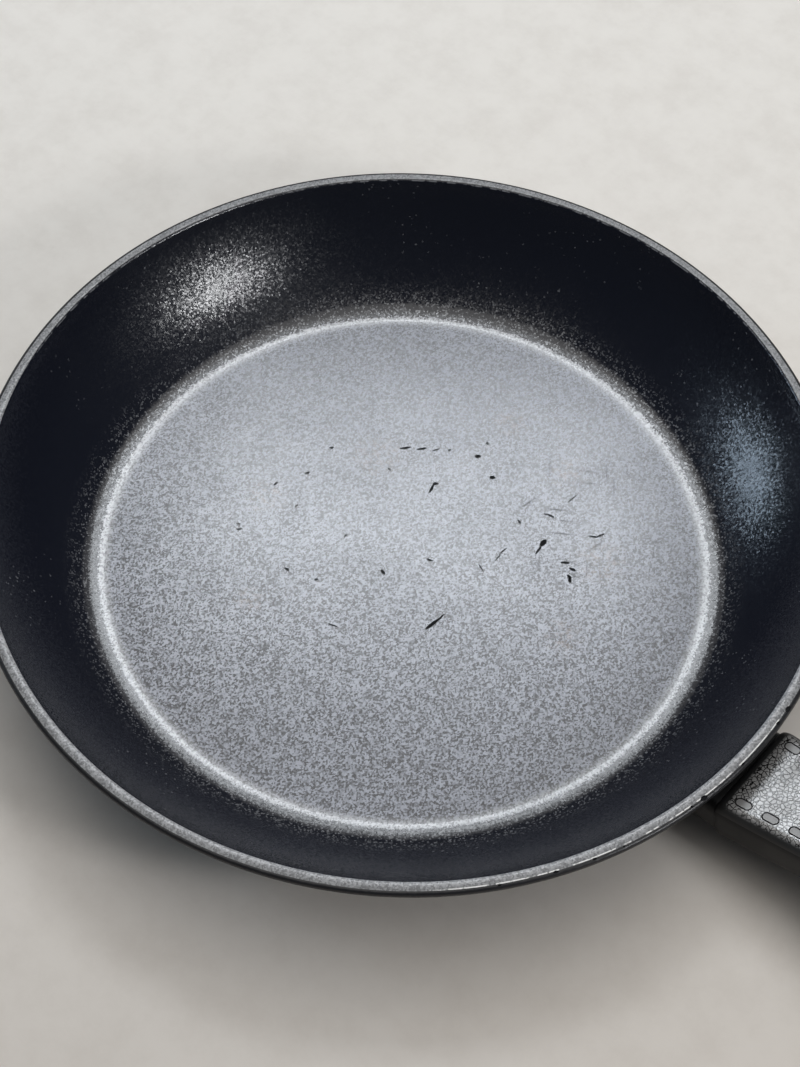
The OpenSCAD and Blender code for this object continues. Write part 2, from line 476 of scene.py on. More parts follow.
coating = {
    "black": (0.0055, 0.0068, 0.0130),     # unworn wall
    "wornDark": (0.018, 0.020, 0.026),     # floor, dulled by use: its darkest grains
    "wornPale": (0.312, 0.330, 0.388),     # and its palest
    "ring": (0.52, 0.53, 0.55),
    # the rim's land is worn pale; the next three shades carry painted sheen, palest where the rim catches
    # the light
    "rimInner": (0.60, 0.605, 0.62),
    "rimOuter": (0.24, 0.243, 0.248),
    "rimSheenOuter": (0.38, 0.385, 0.395),
    "rimSheenTurn": 129,                       # degrees round the axis to the far side, where the rim's painted sheen is palest outside and its inner edge is painted in shade
    "bareMetal": (0.82, 0.81, 0.79),
    "heatStain": (0.30, 0.20, 0.14),
    "scraped": (0.006, 0.006, 0.007),      # primer in the gouges
    "scrapedPale": (0.018, 0.018, 0.020),
    "grainScale": 1900,                    # grains per metre
    "wallLean": 0.13,                      # how far the grains lean
    "floorLean": 0.04,
    "wallRough": 0.225,
    "floorRough": 0.21,
    "bareTurn": -19,                       # degrees round the axis to the middle of the scuffed rim
    "bareSpread": 27,                      # and how far the scuffs go each side of it

    # where the coating changes: from and to, outwards of the floor's edge
    "wornEnd": (-1.6 * mm, -0.4 * mm),
    "ringStart": (-5.6 * mm, -2.4 * mm),
    # the wall's foot, where glints are painted on the grains
    "glintFoot": (-0.5 * mm, 11 * mm),
    "edgeLift": (-3.2 * mm, 1.6 * mm),
    "liftHeight": 0.46 * mm,               # how high the floor's edge lifts into the wall
    "raggedEdge": 0.4 * mm,                # how far single grains stray over an edge
    "farEdgeShade": 0.9 * mm,                 # painted shade: the wall's dark colour carried over the rim's inner edge on the far side

    "enamel": (0.012, 0.012, 0.014),       # outside of the wall
    "enamelBurnt": (0.045, 0.028, 0.016),
    "base": (0.50, 0.49, 0.47),            # bare turned base
    "baseHeated": (0.30, 0.24, 0.19),
    "basePitch": 0.8 * mm,
}

# Gouges in the floor: (x, y, length, width, turn in degrees), in mm from the pan's axis
floorGouges = [
    (25, -15, 6.0, 0.9, 84), (25.4, -11.5, 4.2, 0.4, 92),
    (32, 34.2, 3.2, 1.3, 96), (32.6, 31, 4.4, 0.45, 98),
    (-28.5, 33, 3.8, 0.6, 50), (-24, 36.5, 3.4, 0.6, 52),
    (-20, 39.5, 2.8, 0.35, 62), (-16.5, 42.5, 1.1, 0.5, 79),
    (-7.5, 47, 2.0, 1.1, 37), (2, 43.5, 1.8, 1.1, 34),
    (-10.5, 26, 3.8, 0.6, 106), (-10.8, 28.5, 1.8, 0.8, 42),
    (-26.5, 22.5, 1.5, 0.5, -11), (24, 22.5, 3.6, 0.3, 86), (24.4, 19.5, 3.2, 0.3, 96),
    (20.5, 35.5, 1.8, 0.5, -23), (27, 44.5, 2.4, 0.6, 11), (25.4, 44, 1.5, 0.35, 30),
    (43, 47.5, 3.0, 0.4, 32), (44.5, 49.5, 2.8, 0.45, 66),
    (42.5, 33, 3.0, 0.6, 37), (46, 32.5, 2.4, 0.6, 14), (47, 29.5, 1.9, 0.7, -10), (48, 28.5, 1.8, 0.7, -38),
    (8, 3.5, 2.3, 0.5, 21), (-0.5, -10.5, 2.2, 0.75, -17),
    (-8.5, 53.5, 1.2, 0.6, -28), (-47.5, 16, 1.4, 0.7, 55), (-46.5, 2.5, 1.6, 0.6, 63),
    (-51.5, -8, 1.8, 0.5, 90), (-40, -10, 1.3, 0.5, 93),
    (-49.5, -28.5, 1.3, 0.5, 36), (-47.8, -29.8, 1.7, 0.6, 52),
    (-25, -31, 1.8, 0.6, 3), (-15, -27.5, 1.2, 0.6, 70), (1, -37, 3.2, 0.4, 19), (-19.5, -8, 1.3, 0.4, 84),
    (28, 55, 4.4, 0.35, 85), (23, 12.5, 3.6, 0.3, -23),
]

# Chips on the rim's outer edge: (degrees round the axis, length, how far inwards), in mm
rimChips = [
    (-10, 2.6, 0.7), (-12, 1.2, 0.4), (7, 2.4, 0.7), (4.5, 1.4, 0.5), (-3, 1.0, 0.35),
    (-31, 1.6, 0.4), (-38, 1.2, 0.35), (-22, 1.0, 0.3), (-26, 1.3, 0.35), (12, 1.5, 0.45),
]

# Brown heat stains on the floor: (x, y, radius), in mm
heatStains = [
    (-26, -48, 7), (-50, -14, 9), (-33, 24, 12), (51, 41, 12), (20, 62, 9), (-8, 66, 8), (60, 10, 9),
]

# Knife hairlines: (turn in degrees, share of the lines that show)
hairTurns = [(34, 0.30), (-53, 0.32), (80, 0.22), (12, 0.18)]
hairArea = [(32, 50, 38)]       # and the spot that they lie in, as for a stain


def floorCloseness(tree, place, spots):
    # 1 in the middle of each spot, fading to 0 at its edge
    found = None
    for x, y, spread in spots:
        away = tree.nodes.new("ShaderNodeVectorMath")
        away.operation = "DISTANCE"
        feed(tree, away.inputs[0], place)
        away.inputs[1].default_value = (x * mm, y * mm, pan["floorZ"])
        spot = ramp(tree, away.outputs["Value"], spread * mm, spread * 0.3 * mm)
        found = spot if found is None else calc(tree, "MAXIMUM", found, spot)
    return found


def overZone(tree, radius, name, outwards=True):
    # 0 to 1 across one of the coating's changes, rising outwards or inwards
    inner, outer = (pan["floorR"] + limit for limit in coating[name])
    if outwards:
        return ramp(tree, radius, inner, outer)
    return ramp(tree, radius, outer, inner)


def coatingZones(tree, place, plainRadius, shade):
    # the worn floor, the foot of the wall with its painted glints, the pale ring, the rim's flat land,
    # and the far side of the rim, where its sheen and shade are painted the other way round, each 0 to 1
    ragged = calc(tree, "MULTIPLY_ADD", shade, -2 * coating["raggedEdge"], coating["raggedEdge"])
    radius = calc(tree, "ADD", plainRadius, ragged)
    onFloor = overZone(tree, radius, "wornEnd", False)
    foot = overZone(tree, radius, "glintFoot", False)
    ring = times(tree, overZone(tree, radius, "ringStart"), onFloor)

    # 1 on the far side of the rim, where the sheen is painted palest outside and the inner edge is painted
    # in shade
    kept = ramp(tree, towards(tree, place, math.radians(coating["rimSheenTurn"])), -10 * mm, 70 * mm)
    rimRadius = calc(tree, "MULTIPLY_ADD", kept, -coating["farEdgeShade"], plainRadius)
    land = ramp(tree, rimRadius, pan["rimInner"] - 0.1 * mm, pan["rimInner"] + 0.1 * mm)
    return onFloor, foot, ring, land, kept


def rimColour(tree, plainRadius, kept):
    # painted sheen: palest at the inner edge on the near side, palest at the outer edge on the far side,
    # where the rim catches the light
    outward = ramp(tree, plainRadius, pan["rimInner"] + 0.3 * mm, pan["rimInner"] + 3.0 * mm)
    nearSideSheen = blendColour(tree, outward, coating["rimInner"], coating["rimOuter"])
    farSideSheen = blendColour(tree, outward, coating["rimOuter"], coating["rimSheenOuter"])
    return blendColour(tree, kept, nearSideSheen, farSideSheen)


def dashedLine(tree, place, plainRadius, kept):
    # a fine pale dashed line at the rim's inner edge, on the far side
    dashes = times(tree, ramp(tree, noise(tree, place, 420, 3.0), 0.46, 0.6, 0.0, 0.3),
                   ramp(tree, kept, 0.7, 1.0))
    middle = pan["rimInner"] + 0.5 * mm
    away = calc(tree, "ABSOLUTE", calc(tree, "SUBTRACT", plainRadius, middle))
    return times(tree, dashes, ramp(tree, away, 0.22 * mm, 0.1 * mm))


def bareLine(tree, place, plainRadius):
    # a broken bare line along the scuffed part of the rim
    toward = towards(tree, place, math.radians(coating["bareTurn"]))
    reach = pan["rimR"] * math.cos(math.radians(coating["bareSpread"]))
    scuffed = times(tree, ramp(tree, toward, reach - 3 * mm, reach + 3 * mm),
                    ramp(tree, noise(tree, place, 260, 3.0, 0.7), 0.42, 0.5))
    band = pan["rimR"] - pan["outerRound"]
    return times(tree, scuffed, ramp(tree, plainRadius, band - 0.45 * mm, band - 0.3 * mm))


def hairLines(tree, place):
    # hairlines from knives and spatulas
    lines = None
    for turn, share in hairTurns:
        mask = useGroup(tree, hairGroup, Place=place, Turn=(0, 0, math.radians(turn)),
                        Size=(46 * mm, 2.6 * mm, 1), Thick=0.15, Share=share)["Mask"]
        lines = mask if lines is None else calc(tree, "MAXIMUM", lines, mask)
    tangle = ramp(tree, noise(tree, place, 300, 2.0), 0.3, 0.55)
    return times(tree, times(tree, lines, tangle), floorCloseness(tree, place, hairArea))


def coatingMaterial():
    material, tree, shader = newMaterial("wornCoating")
    place = objectPlace(tree)
    plainRadius, _ = fromAxis(tree, place)
    lean = ramp(tree, plainRadius, pan["floorR"] - 2 * mm, pan["floorR"] + 3 * mm,
                coating["floorLean"], coating["wallLean"])
    grain = useGroup(tree, grainGroup, Place=place, Scale=coating["grainScale"], Lean=lean)
    shade = grain["Shade"]
    onFloor, foot, ring, land, kept = coatingZones(tree, place, plainRadius, shade)
    grainy = ramp(tree, shade, 0.0, 1.0, 0.4, 1.0)

    worn = blendColour(tree, ramp(tree, shade, 0.1, 0.9), coating["wornDark"], coating["wornPale"])
    # painted glints: pale specks in the ring's colour on the wall's foot and, sparser, up the wall, where
    # light glints off the coating's grains
    paintedGlint = times(tree, foot, ramp(tree, shade, 0.72, 1.0, 0.0, 0.45))
    fleckGlintArea = ramp(tree, noise(tree, place, 30, 2.0), 0.45, 0.7, 0.0, 0.25)
    fleckGlint = times(tree, ramp(tree, shade, 0.988, 0.994), fleckGlintArea)
    glints = calc(tree, "MAXIMUM", paintedGlint, fleckGlint)
    colour = blendColour(tree, glints, coating["black"], coating["ring"])
    colour = blendColour(tree, onFloor, colour, worn)
    colour = blendColour(tree, times(tree, ring, grainy), colour, coating["ring"])
    colour = blendColour(tree, times(tree, land, grainy), colour, rimColour(tree, plainRadius, kept))
    dashed = dashedLine(tree, place, plainRadius, kept)
    colour = blendColour(tree, dashed, colour, coating["ring"])
    colour = blendColour(tree, bareLine(tree, place, plainRadius), colour, coating["bareMetal"])

    patchy = ramp(tree, noise(tree, place, 420, 3.0, 0.7), 0.42, 0.7)
    stain = times(tree, floorCloseness(tree, place, heatStains), times(tree, patchy, 0.32))
    colour = blendColour(tree, stain, colour, coating["heatStain"])
    lines = hairLines(tree, place)
    colour = blendColour(tree, times(tree, lines, 0.9), colour, coating["scraped"])
    feed(tree, shader.inputs["Base Color"], colour)

    rough = ramp(tree, onFloor, 0.0, 1.0, coating["wallRough"], coating["floorRough"])
    rough = calc(tree, "MULTIPLY_ADD", lines, 0.3, rough)
    cloud = noise(tree, place, 28, 3.0, 0.55)
    rough = calc(tree, "ADD", rough, ramp(tree, cloud, 0.3, 0.7, -0.02, 0.02))
    feed(tree, shader.inputs["Roughness"], calc(tree, "MULTIPLY_ADD", land, 0.1, rough))
    shader.inputs["IOR"].default_value = 1.6
    soft = bump(tree, overZone(tree, plainRadius, "edgeLift"), 1.0, coating["liftHeight"], grain["Normal"])
    feed(tree, shader.inputs["Normal"], bump(tree, grain["Height"], 0.15, 0.05 * mm, soft))
    return material


def enamelMaterial():
    material, tree, shader = newMaterial("outerEnamel")
    place = objectPlace(tree)
    grain = useGroup(tree, grainGroup, Place=place, Scale=1500.0, Lean=0.12)
    _, height = fromAxis(tree, place)
    low = ramp(tree, height, 16 * mm, 2 * mm)
    soot = ramp(tree, noise(tree, place, 60, 4.0, 0.65), 0.42, 0.68)
    burnt = times(tree, low, soot)
    paint(tree, shader, burnt, coating["enamel"], coating["enamelBurnt"])
    feed(tree, shader.inputs["Roughness"], calc(tree, "MULTIPLY_ADD", burnt, 0.3, 0.36))
    feed(tree, shader.inputs["Normal"], bump(tree, grain["Height"], 0.2, 0.05 * mm, grain["Normal"]))
    return material


def turnedBaseMaterial():
    material, tree, shader = newMaterial("turnedBase")
    place = objectPlace(tree)
    rings = useGroup(tree, turnedGroup, Place=place, Pitch=coating["basePitch"])["Height"]
    heat = ramp(tree, noise(tree, place, 22, 4.0, 0.6), 0.4, 0.75)
    paint(tree, shader, heat, coating["base"], coating["baseHeated"])
    shader.inputs["Metallic"].default_value = 1.0
    feed(tree, shader.inputs["Roughness"], calc(tree, "MULTIPLY_ADD", heat, 0.2, 0.34))
    feed(tree, shader.inputs["Normal"], bump(tree, rings, 0.35, 0.06 * mm))
    return material


def scrapedMaterial():
    # inside the gouges: the coating is torn down to its dark primer
    material, tree, shader = newMaterial("scrapedPrimer")
    place = objectPlace(tree)
    paint(tree, shader, noise(tree, place, 1500), coating["scraped"], coating["scrapedPale"])
    shader.inputs["Roughness"].default_value = 0.8
    shader.inputs["IOR"].default_value = 1.2
    return material


def arcPoints(centre, radius, start, finish, steps):
    # slope angles from level, as in the turned section
    points = []
    for i in range(steps + 1):
        slope = start + (finish - start) * i / steps
        points.append((centre[0] + radius * math.sin(slope), centre[1] - radius * math.cos(slope)))
    return points


def panSection(gap=0.0):
    # the outer wall, the rim and the inside of the pan's section; gap moves the outer wall outwards
    degree = math.pi / 180
    cornerC = (pan["floorR"], pan["floorZ"] + pan["cornerR"])
    top = (pan["rimInner"], pan["rimZ"] - pan["innerRound"])
    wallSlope = math.atan2(top[1] - pan["floorZ"], top[0] - pan["floorR"]) - pan["wallBend"] / 2
    foot = arcPoints(cornerC, pan["cornerR"], wallSlope, wallSlope, 1)[0]
    chord = (top[0] - foot[0], top[1] - foot[1])
    chordSlope = math.atan2(chord[1], chord[0])
    topSlope = 2 * chordSlope - wallSlope
    wallR = math.hypot(*chord) / (2 * math.sin(chordSlope - wallSlope))
    wallC = (foot[0] - wallR * math.sin(wallSlope), foot[1] + wallR * math.cos(wallSlope))

    outerR = wallR + pan["wallThick"] + gap
    outFoot = arcPoints(cornerC, pan["cornerR"] + pan["wallThick"] + gap, wallSlope, wallSlope, 1)[0]
    baseCorner = outFoot[0] - (outFoot[1] + gap) / math.tan(wallSlope)
    edgeC = (baseCorner - pan["baseEdgeR"] * math.tan(wallSlope / 2), pan["baseEdgeR"] - gap)
    edgeR = pan["lipRound"]
    lipZ = pan["rimZ"] - pan["rimFall"] - pan["rimHeight"]
    outerEnd = math.acos((wallC[1] - lipZ + pan["rimTaper"]) / outerR)
    lipC = (pan["rimR"] + gap - edgeR, lipZ + edgeR)
    outside = (arcPoints(edgeC, pan["baseEdgeR"], 0, wallSlope, 6)
               + arcPoints(wallC, outerR, wallSlope, outerEnd, 20)
               + arcPoints(lipC, edgeR, wallSlope, 90 * degree, 6))

    outerRound, innerRound = pan["outerRound"], pan["innerRound"]
    outerC = (pan["rimR"] - outerRound, pan["rimZ"] - pan["rimFall"] - outerRound)
    innerC = (pan["rimInner"] + innerRound, pan["rimZ"] - innerRound)
    rim = (arcPoints(outerC, outerRound, 90 * degree, 180 * degree, 7)
           + arcPoints(innerC, innerRound, 180 * degree, 180 * degree + topSlope, 7))

    inside = (arcPoints(wallC, wallR, topSlope - degree, wallSlope, 26)
              + arcPoints(cornerC, pan["cornerR"], wallSlope, 0, 9)[1:])
    return outside, rim, inside


def sliver(x, y, z, length, width, depth, turn, number):
    # a ragged splinter for cutting one gouge or chip; the number seeds its raggedness
    bpy.ops.mesh.primitive_cylinder_add(vertices=14, radius=1, depth=2, location=(x, y, z))
    obj = bpy.context.object
    obj.scale = (length / 2, width / 2, depth)
    obj.rotation_euler = (0, 0, math.radians(turn))
    placeInMesh(obj)
    editMode(obj, "VERT")
    bpy.ops.mesh.select_all(action="SELECT")
    bpy.ops.transform.vertex_random(offset=pan["raggedCut"], uniform=1.0, seed=number)
    bpy.ops.object.mode_set(mode="OBJECT")
    return obj


def gougeCutters(first):
    # every other gouge, so that two which overlap are never in the same cutter
    tools = []
    for i in range(first, len(floorGouges), 2):
        x, y, length, width, turn = floorGouges[i]
        length = (length + pan["gougeLonger"]) * mm
        width = (width * pan["gougeWiden"] + pan["gougeWider"]) * mm
        tools.append(sliver(x * mm, y * mm, pan["floorZ"], length, width, pan["gougeDepth"], turn, i + 1))
    return joinAll(tools, "gougeCutters")


def chipCutters():
    tools = []
    edgeZ = pan["rimZ"] - pan["rimFall"]
    edgeR = pan["rimR"] - pan["outerRound"] * pan["chipInset"]
    for i, (turn, length, inwards) in enumerate(rimChips):
        x, y = edgeR * math.cos(math.radians(turn)), edgeR * math.sin(math.radians(turn))
        width = 2 * inwards * mm
        tools.append(sliver(x, y, edgeZ, length * mm, width, pan["chipDepth"], turn + 90, 100 + i))
    return joinAll(tools, "chipCutters")


def buildPan():
    outside, rim, inside = panSection()
    centre = 8 * mm
    flat = [r * mm for r in (30, 55, 80)]
    points = [(centre, 0)] + [(r, 0) for r in flat] + outside + rim + inside
    points += [(r, pan["floorZ"]) for r in reversed([*flat, 95 * mm])] + [(centre, pan["floorZ"])]
    body = turnProfile("panBody", points, pan["turns"])
    setMaterials(body, coatingMaterial(), enamelMaterial(), turnedBaseMaterial(), scrapedMaterial())
    closeUp(body, 25)

    bandR = pan["rimR"] - pan["outerRound"]
    for face in body.data.polygons:
        facesOut = face.normal.x * face.center.x + face.normal.y * face.center.y > 0
        radius = math.hypot(face.center.x, face.center.y)
        lowDown = face.center.z < pan["rimZ"] - pan["outerRound"]
        if face.normal.z < -0.99:
            face.material_index = 2
        elif radius > bandR or (facesOut and radius > pan["floorR"] and lowDown):
            face.material_index = 1
    cutAway(body, gougeCutters(0), 3)
    cutAway(body, gougeCutters(1), 3)
    cutAway(body, chipCutters(), 3)
    closeUp(body, 25)
    finishPiece(body, "panBody", "pan_body")


# the handle, in mm and degrees
grip = {
    "place": (139.5, 0, 19.4),      # mm, the seam's middle
    "tilt": 10,                     # degrees
    "noseLength": 3,
    "noseDrop": 2.0,                # how far the top rounds down to the seam
    "noseRound": 4.5,
    "noseIn": 0.7,
    "tailStart": 146,
    "width": 37.5, "tailWidth": 34, "waist": 4,
    "thick": 17.5, "tailThick": 13, "arch": 3,
    "topRound": 4, "lowerRound": 5,
    "holeAt": 167, "holeSize": 12, "tipBevel": 2.5, "tipIn": 0.15,
    "fadeDepth": 5,                 # how far down the sides the top's painted sheen fades out
    "screwAt": 20, "headRoom": 9.6, "seatZ": -3.35, "screwHole": 5.6,
    "socket": (33, 14.3, 5.3, 1.5),     # depth, width, height, lift
}

# the oval pads in two rows on the handle's top, in mm
pills = {
    "first": 7, "pitch": 9.25, "count": 15,
    "length": 5.8, "width": 3.3, "groove": 0.45, "depth": 0.5,
    "fromEdge": 5.9,
}

moulding = {
    "black": (0.006, 0.006, 0.0065),
    # the two pale greys below are painted sheen on the grip's top, on the pebbles and on the pill faces
    "pebbleSheen": (0.230, 0.227, 0.224),
    "pillSheen": (0.16, 0.158, 0.156),
    "groove": (0.003, 0.003, 0.003),
    "smooth": (0.009, 0.009, 0.010),
    "pebbleScale": 740,         # pebbles per metre
    "sideRough": 0.55, "topRough": 0.19,
}


def onHandle():
    place = Matrix.Translation(Vector(grip["place"]) * mm)
    return place @ Matrix.Rotation(math.radians(-grip["tilt"]), 4, "Y")


def gripSection(x):
    # width, top and bottom of the grip in mm, x along it from the seam
    x = max(x, 0)
    along = min(max((x - grip["noseLength"]) / (grip["tailStart"] - grip["noseLength"]), 0), 1)
    width = grip["width"] + (grip["tailWidth"] - grip["width"]) * along
    width -= grip["waist"] * math.sin(math.pi * along)
    thick = grip["thick"] + (grip["tailThick"] - grip["thick"]) * along
    top = grip["thick"] / 2 + grip["arch"] * (1 - math.cos(2 * math.pi * along)) / 2
    bottom = top - thick
    fall = 1 - math.sqrt(1 - (1 - min(x / grip["noseRound"], 1)) ** 2)
    side = 1 - math.sqrt(1 - (1 - min(x / grip["noseLength"], 1)) ** 2)
    top -= grip["noseDrop"] * fall
    bottom += grip["noseIn"] * side
    width -= 2 * grip["noseIn"] * side
    if x > grip["holeAt"]:
        width = 2 * math.sqrt((grip["tailWidth"] / 2) ** 2 - (x - grip["holeAt"]) ** 2)
        tip = grip["holeAt"] + grip["tailWidth"] / 2
        near = max((x - tip + grip["tipBevel"]) / grip["tipBevel"], 0)
        drop = grip["tipBevel"] * (1 - math.sqrt(1 - near * near))
        top -= drop
        bottom += drop
    return width, top, bottom


def loft(name, sections):
    # a bar along X with rounded corners; each section is (x, width, top, bottom) in mm
    x0, w0, top0, low0 = sections[0]
    middleZ = (top0 + low0) / 2 * mm
    bpy.ops.mesh.primitive_plane_add(size=1 * mm, location=(0, 0, 0))
    obj = bpy.context.object
    obj.name = name
    obj.scale = (top0 - low0, w0, 1)
    obj.rotation_euler = (0, math.radians(-90), 0)
    obj.location = (x0 * mm, 0, middleZ)
    placeInMesh(obj)
    editMode(obj, "VERT")
    for isTop, size in ((True, grip["topRound"]), (False, grip["lowerRound"])):
        selectWhere(obj, "verts", lambda v: (v.co.z > middleZ) == isTop)
        corners = [v for v in bmesh.from_edit_mesh(obj.data).verts if v.select]
        if len(corners) > 2:
            selectWhere(obj, "verts", lambda v: v.co.z < low0 * mm + 0.01 * mm)
        bpy.ops.mesh.bevel(offset=size * mm, segments=7, affect="VERTICES")
    bpy.ops.mesh.select_mode(type="FACE")
    bpy.ops.mesh.select_all(action="SELECT")
    for (xa, wa, ta, la), (xb, wb, tb, lb) in zip(sections, sections[1:]):
        rise = (tb + lb - ta - la) / 2
        bpy.ops.mesh.extrude_region_move(TRANSFORM_OT_translate={"value": ((xb - xa) * mm, 0, rise * mm)})
        bpy.ops.transform.resize(value=(1, wb / wa, (tb - lb) / (ta - la)),
                                 center_override=(xb * mm, 0, (tb + lb) / 2 * mm))
    closeUp(obj)
    return obj


def barTool(x0, x1, width, height, lift):
    bpy.ops.mesh.primitive_cube_add(size=1 * mm, location=((x0 + x1) / 2 * mm, 0, lift * mm))
    obj = bpy.context.object
    obj.scale = (x1 - x0, width, height)
    placeInMesh(obj)
    return obj


def drillTool(x, size, z0, z1):
    bpy.ops.mesh.primitive_cylinder_add(vertices=64, radius=size / 2 * mm, depth=(z1 - z0) * mm,
                                        location=(x * mm, 0, (z0 + z1) / 2 * mm))
    obj = bpy.context.object
    placeInMesh(obj)
    return obj


def pillTool():
    # a flat ring with round ends, which cuts one pill's outline
    bpy.ops.mesh.primitive_cylinder_add(vertices=20, radius=pills["width"] / 2 * mm, depth=2 * mm,
                                        rotation=(0, 0, math.radians(9)))
    obj = bpy.context.object
    placeInMesh(obj)
    editMode(obj, "VERT")
    stretch = (pills["length"] - pills["width"]) / 2 * mm
    for side in (1, -1):
        selectWhere(obj, "verts", lambda v: v.co.x * side > 0)
        bpy.ops.transform.translate(value=(stretch * side, 0, 0))
    bpy.ops.mesh.select_mode(type="FACE")
    selectWhere(obj, "faces", lambda f: abs(f.normal.z) > 0.9)
    bpy.ops.mesh.inset(thickness=pills["groove"] * mm, use_individual=True)
    bpy.ops.mesh.bridge_edge_loops()
    bpy.ops.object.mode_set(mode="OBJECT")
    closeUp(obj)
    return obj


def pillPlaces():
    # x, y, top, slope and turn of each pill, in mm and radians
    places = []
    for side in (1, -1):
        for i in range(pills["count"]):
            x = pills["first"] + pills["pitch"] * i
            (w0, t0, _), (w1, t1, _) = gripSection(x), gripSection(x + 1)
            y = side * (w0 / 2 - pills["fromEdge"])
            places.append((x, y, t0, -math.atan(t1 - t0), side * math.atan((w1 - w0) / 2)))
    return places


def pillCutters():
    first = pillTool()
    tools = []
    for x, y, top, slope, turn in pillPlaces():
        copy = first.copy()
        copy.data = first.data.copy()
        bpy.context.scene.collection.objects.link(copy)
        copy.location = (x * mm, y * mm, (top - pills["depth"] + 1) * mm)
        copy.rotation_euler = (0, slope, turn)
        placeInMesh(copy)
        tools.append(copy)
    bpy.data.objects.remove(first)
    return joinAll(tools, "pillCutters")


def inPill(x, y, places):
    halfLength, halfWidth = pills["length"] / 2, pills["width"] / 2
    return any(abs(x - px) < halfLength and abs(y - py) < halfWidth for px, py, *_ in places)


def markFaces(obj):
    # the smooth islands inside the pill outlines are slot 2, the smooth sides and underside slot 3
    places = pillPlaces()
    for face in obj.data.polygons:
        if face.material_index != 0:
            continue
        if face.normal.z < 0.4:
            face.material_index = 3
        elif face.normal.z > 0.7 and inPill(face.center.x / mm, face.center.y / mm, places):
            face.material_index = 2


def gripAttribute(obj):
    # 1 on the grip's top, falling to 0 down its sides and round its nose
    attribute = obj.data.attributes.new("gripTop", "FLOAT", "POINT")
    for point, vertex in zip(attribute.data, obj.data.vertices):
        x = vertex.co.x / mm
        _, top, _ = gripSection(min(x, grip["holeAt"]))
        nose = min(max(x / grip["noseLength"], 0), 1)
        point.value = min(max(1 - (top - vertex.co.z / mm) / grip["fadeDepth"], 0), 1) * nose


def buildHandle():
    nose = [0, 0.25, 0.6, 1.1, 1.8, 2.6, 3.5, 4.5]
    length = grip["tailStart"] - nose[-1]
    middle = [nose[-1] + length * i / 40 for i in range(1, 41)]
    tipR = grip["tailWidth"] / 2 - grip["tipIn"]
    angles = (0, 12, 24, 36, 47, 57, 66, 74, 80, 84, 87)
    tail = [grip["holeAt"] + tipR * math.sin(math.radians(a)) for a in angles]
    handle = loft("handle", [(x, *gripSection(x)) for x in nose + middle + [153, 160] + tail])
    setMaterials(handle, gripMaterial(), grooveMaterial(), pillMaterial(), smoothMoulding)
    depth, width, height, lift = grip["socket"]
    cutAway(handle, barTool(-1, depth, width, height, lift))
    _, top, bottom = gripSection(grip["holeAt"])
    cutAway(handle, drillTool(grip["holeAt"], grip["holeSize"], bottom - 2, top + 2))
    cutAway(handle, drillTool(grip["screwAt"], grip["headRoom"], -20, grip["seatZ"]))
    cutAway(handle, drillTool(grip["screwAt"], grip["screwHole"], -20, lift + height / 2 - 0.01))
    cutAway(handle, pillCutters(), 1)
    closeUp(handle)
    markFaces(handle)
    gripAttribute(handle)
    handle.matrix_world = onHandle()
    placeInMesh(handle)
    finishPiece(handle, "grip", "handle")


# the collar, in mm, x from the seam
collarForm = {
    "start": -34.9, "startWidth": 32, "startTop": 7.5, "startLow": -7.5,
    "endWidth": 35.8, "endTop": 6.4, "endLow": -8.05,
    "edge": 0.8,
    "cavity": (-45, 27.6, 5.3, -5.3),       # its two ends: x, width, top and bottom
    "cavityEnd": (-3, 30.9, 4.4, -5.45),
    "gap": 0.2,                             # to the pan's wall
}


def buildCollar():
    form = collarForm
    sections = [(form["start"], form["startWidth"], form["startTop"], form["startLow"])]
    for back, inset in ((form["edge"], 0), (form["edge"] * 0.3, 0.3), (0, form["edge"])):
        x = -0.01 - back
        sections.append((x, form["endWidth"] - 2 * inset, form["endTop"] - inset, form["endLow"] + inset))
    collar = loft("collar", sections)
    setMaterials(collar, smoothMoulding)
    cutAway(collar, loft("cavity", [form["cavity"], form["cavityEnd"]]))
    _, width, height, lift = grip["socket"]
    cutAway(collar, barTool(-4, 1, width, height, lift))
    collar.matrix_world = onHandle()
    placeInMesh(collar)

    outside, _, _ = panSection(form["gap"] * mm)
    top = (outside[-1][0], 60 * mm)
    envelope = turnProfile("panRoom", [(20 * mm, outside[0][1])] + outside + [top, (20 * mm, 60 * mm)], 256)
    closeUp(envelope)
    cutAway(collar, envelope)
    closeUp(collar)
    finishPiece(collar, "seamCollar", "collar")


def makePebbleGroup():
    # leather-like moulded grain: raised pebbles, with a mask for the creases between them
    group, start, end = newGroup(
        "pebbleGrain", {"Place": "NodeSocketVector", "Scale": "NodeSocketFloat"},
        {"Height": "NodeSocketFloat", "Crease": "NodeSocketFloat"})
    place = start.outputs["Place"]
    warp = group.nodes.new("ShaderNodeTexNoise")
    feed(group, warp.inputs["Vector"], place)
    feed(group, warp.inputs["Scale"], start.outputs["Scale"])
    shift = group.nodes.new("ShaderNodeVectorMath")
    shift.operation = "MULTIPLY_ADD"
    feed(group, shift.inputs[0], warp.outputs["Color"])
    shift.inputs[1].default_value = (0.7 * mm, 0.7 * mm, 0.7 * mm)
    feed(group, shift.inputs[2], place)
    cell = group.nodes.new("ShaderNodeTexVoronoi")
    cell.feature = "DISTANCE_TO_EDGE"
    feed(group, cell.inputs["Vector"], shift.outputs[0])
    feed(group, cell.inputs["Scale"], start.outputs["Scale"])
    edge = cell.outputs["Distance"]
    group.links.new(ramp(group, edge, 0.02, 0.13), end.inputs["Height"])
    group.links.new(ramp(group, edge, 0.11, 0.05), end.inputs["Crease"])
    return group


def makeSkinGroup():
    # the moulding's own fine texture, under anything else
    group, start, end = newGroup("fineSkin", {"Place": "NodeSocketVector"}, {"Normal": "NodeSocketVector"})
    fine = bump(group, noise(group, start.outputs["Place"], 2500), 0.12, 0.05 * mm)
    group.links.new(fine, end.inputs["Normal"])
    return group


